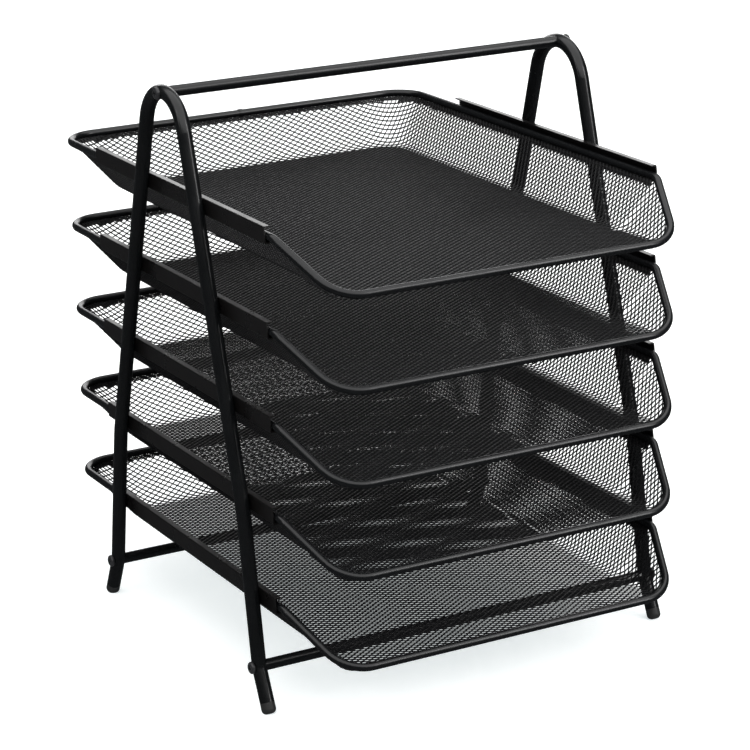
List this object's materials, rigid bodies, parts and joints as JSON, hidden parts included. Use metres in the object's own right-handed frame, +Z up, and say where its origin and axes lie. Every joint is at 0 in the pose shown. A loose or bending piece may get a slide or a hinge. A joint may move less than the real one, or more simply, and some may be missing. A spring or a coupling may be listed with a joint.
{
  "type": "desktop file sorter",
  "caption": "Desktop file sorter: sliding black mesh letter trays in rails between two A-shaped tube side frames, with a carrying handle bar across the top.",
  "frame": {"origin": "on the desk, under the middle of the trays", "axes": "+Z up, +X to the right seen from the front, trays slide out towards -Y"},
  "size_m": [0.293, 0.3553, 0.3645],
  "materials": {
    "powder_coat": "satin black powder coat",
    "mesh_coat": "satin black powder coat on expanded metal",
    "screw_steel": "black-finished steel",
    "insert_steel": "zinc-plated, hidden in the bar ends",
    "foot_plastic": "matte black"
  },
  "bodies": {
    "sorter_frame": {"left_side_frame": "powder_coat", "right_side_frame": "powder_coat", "handle_bar": "powder_coat", "front_cross_bar": "powder_coat", "rear_cross_bar": "powder_coat", "handle_inserts": "insert_steel", "cross_bar_inserts": "insert_steel", "handle_screws": "screw_steel", "cross_bar_screws": "screw_steel", "front_left_foot_cap": "foot_plastic", "front_right_foot_cap": "foot_plastic", "rear_left_foot_cap": "foot_plastic", "rear_right_foot_cap": "foot_plastic", "left_rail_1": "powder_coat", "right_rail_1": "powder_coat", "left_rail_2": "powder_coat", "right_rail_2": "powder_coat", "left_rail_3": "powder_coat", "right_rail_3": "powder_coat", "left_rail_4": "powder_coat", "right_rail_4": "powder_coat", "left_rail_5": "powder_coat", "right_rail_5": "powder_coat"},
    "tray_1": {"tray_rim_1": "powder_coat", "tray_mesh_1": "mesh_coat"},
    "tray_2": {"tray_rim_2": "powder_coat", "tray_mesh_2": "mesh_coat"},
    "tray_3": {"tray_rim_3": "powder_coat", "tray_mesh_3": "mesh_coat"},
    "tray_4": {"tray_rim_4": "powder_coat", "tray_mesh_4": "mesh_coat"},
    "tray_5": {"tray_rim_5": "powder_coat", "tray_mesh_5": "mesh_coat"}
  },
  "joints": [
    {"name": "tray_1_slide", "type": "slide", "parent": "sorter_frame", "child": "tray_1", "axis": [0, -1, 0], "range_m": [0, 0.2]},
    {"name": "tray_2_slide", "type": "slide", "parent": "sorter_frame", "child": "tray_2", "axis": [0, -1, 0], "range_m": [0, 0.2]},
    {"name": "tray_3_slide", "type": "slide", "parent": "sorter_frame", "child": "tray_3", "axis": [0, -1, 0], "range_m": [0, 0.2]},
    {"name": "tray_4_slide", "type": "slide", "parent": "sorter_frame", "child": "tray_4", "axis": [0, -1, 0], "range_m": [0, 0.2]},
    {"name": "tray_5_slide", "type": "slide", "parent": "sorter_frame", "child": "tray_5", "axis": [0, -1, 0], "range_m": [0, 0.2]}
  ]
}
